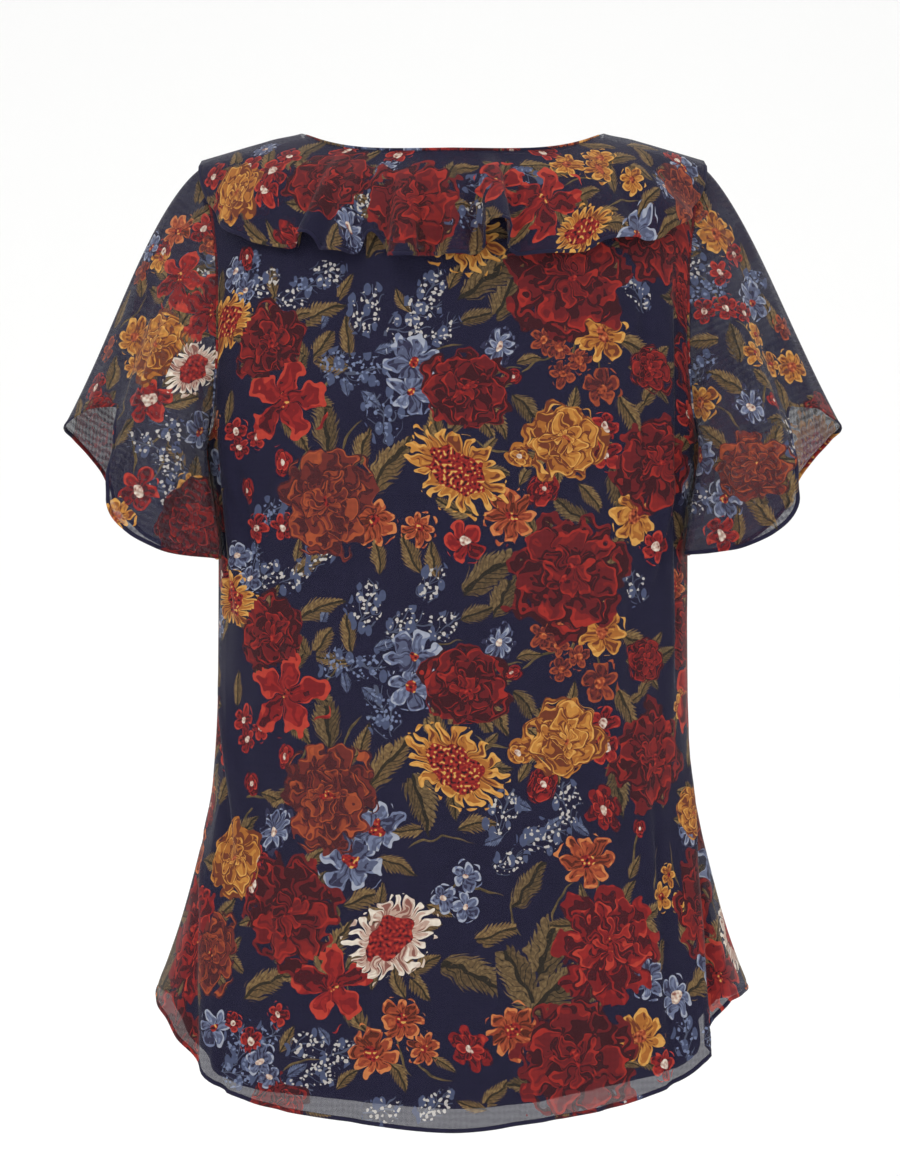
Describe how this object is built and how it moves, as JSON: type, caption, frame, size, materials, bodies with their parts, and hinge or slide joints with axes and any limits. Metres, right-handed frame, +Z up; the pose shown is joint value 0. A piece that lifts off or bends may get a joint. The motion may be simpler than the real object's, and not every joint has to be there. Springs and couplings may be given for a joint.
{
  "type": "blouse",
  "caption": "Worn-form short-sleeved blouse in sheer printed chiffon over a plain lining, with a flounced V neckline, fluted sleeves and a curved tail hem.",
  "frame": {"origin": "Midway between the two points where the shoulder seams meet the neckline, where the wearer's shoulders hold the blouse up.", "axes": "+Z up, +Y the way the wearer faces, so the back is on the -Y side, and +X the wearer's right."},
  "size_m": [0.568, 0.2724, 0.7092],
  "materials": {
    "printed_chiffon": "sheer crepe chiffon, matt, navy with a red, ochre, olive and slate-blue floral print",
    "navy_lining": "plain navy lining, soft low sheen"
  },
  "bodies": {
    "root": {"back": "printed_chiffon", "front": "printed_chiffon", "sleeve_right": "printed_chiffon", "sleeve_left": "printed_chiffon", "flounce_back": "printed_chiffon", "flounce_front_right": "printed_chiffon", "flounce_front_left": "printed_chiffon", "lining_back": "navy_lining", "lining_front": "navy_lining"}
  },
  "joints": []
}
